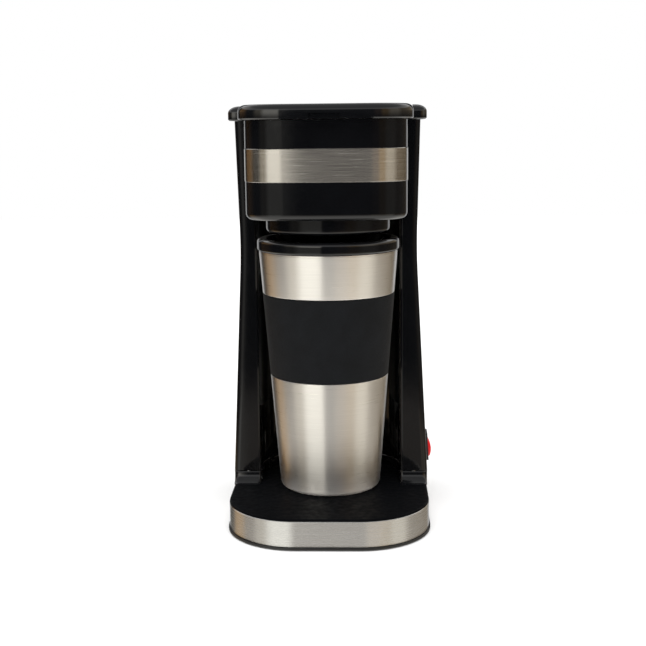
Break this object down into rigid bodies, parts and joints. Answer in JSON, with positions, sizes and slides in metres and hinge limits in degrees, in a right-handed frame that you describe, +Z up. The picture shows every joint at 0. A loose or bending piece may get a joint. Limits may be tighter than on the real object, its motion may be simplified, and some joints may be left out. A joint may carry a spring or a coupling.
{
  "type": "drip coffee maker",
  "caption": "Compact drip coffee maker with a steel-banded base, C-shaped tower, hinged lid over tank and filter, side rocker switch and an insulated travel mug that slides out.",
  "frame": {"origin": "on the table under the middle of the base's outline", "axes": "+Z up, the front with the mug faces -Y, +X is the side with the rocker switch"},
  "size_m": [0.1341, 0.16, 0.27],
  "materials": {
    "gloss_black": "gloss",
    "matte_black": "satin moulded",
    "rubber_black": "matte",
    "grip_rubber": "fine matte texture",
    "band_steel": "brushed along its length",
    "mug_steel": "satin brushed round",
    "screw_steel": "zinc plated",
    "cast_aluminium": "as cast",
    "tank_plastic": "natural translucent",
    "white_plastic": "moulded",
    "silicone": "translucent white",
    "filter_mesh": "fine woven mesh",
    "rocker_red": "translucent gloss"
  },
  "bodies": {
    "base": {"base_housing": "gloss_black", "base_band": "band_steel", "plinth": "gloss_black", "bottom_cover": "matte_black", "rubber_feet": "rubber_black", "cover_screws": "screw_steel", "tower_shell": "gloss_black", "rear_cover": "gloss_black", "tower_screws": "screw_steel", "top_collar": "gloss_black", "hinge_pins": "screw_steel", "head_shell": "gloss_black", "head_band": "band_steel", "head_screws": "screw_steel", "brew_chamber": "matte_black", "outlet_ring": "gloss_black", "filter_basket": "matte_black", "filter_frame": "matte_black", "filter_mesh": "filter_mesh", "water_tank": "tank_plastic", "tank_seal": "silicone", "inlet_hose": "silicone", "check_valve": "white_plastic", "riser_hose": "silicone", "spout_elbow": "white_plastic", "hose_clamps": "screw_steel", "heater_body": "cast_aluminium", "heating_rod": "screw_steel", "heater_straps": "screw_steel", "heater_screws": "screw_steel", "thermostat": "matte_black", "thermal_fuses": "white_plastic", "terminal_block": "white_plastic", "lead_wires": "white_plastic", "cord_grommet": "rubber_black", "switch_housing": "matte_black"},
    "lid": {"lid_cover": "gloss_black", "lid_liner": "matte_black", "lid_seal": "silicone", "lid_screws": "screw_steel", "shower_plate": "screw_steel"},
    "mug": {"mug_shell": "mug_steel", "mug_liner": "mug_steel", "mug_floor": "mug_steel", "mug_grip": "grip_rubber"},
    "mug_cap": {"mug_lid": "gloss_black", "mug_lid_seal": "silicone"},
    "sip": {"sip_slider": "gloss_black"},
    "rocker": {"switch_rocker": "rocker_red"}
  },
  "joints": [
    {"name": "lid_hinge", "type": "hinge", "parent": "base", "child": "lid", "pos_m": [0, 0.0755, 0.2655], "axis": [-1, 0, 0], "range_deg": [0, 100]},
    {"name": "rocker_tilt", "type": "hinge", "parent": "base", "child": "rocker", "pos_m": [0.06467, 0.0207, 0.0395], "axis": [0, 1, 0], "range_deg": [0, 24]},
    {"name": "mug_slide", "type": "slide", "parent": "base", "child": "mug", "axis": [0, -1, 0], "range_m": [0, 0.2]},
    {"name": "mug_cap_turn", "type": "hinge", "parent": "mug", "child": "mug_cap", "pos_m": [0, -0.0033, 0.18], "axis": [0, 0, 1], "continuous": true},
    {"name": "sip_slide", "type": "slide", "parent": "mug_cap", "child": "sip", "axis": [0, 1, 0], "range_m": [0, 0.012]}
  ]
}
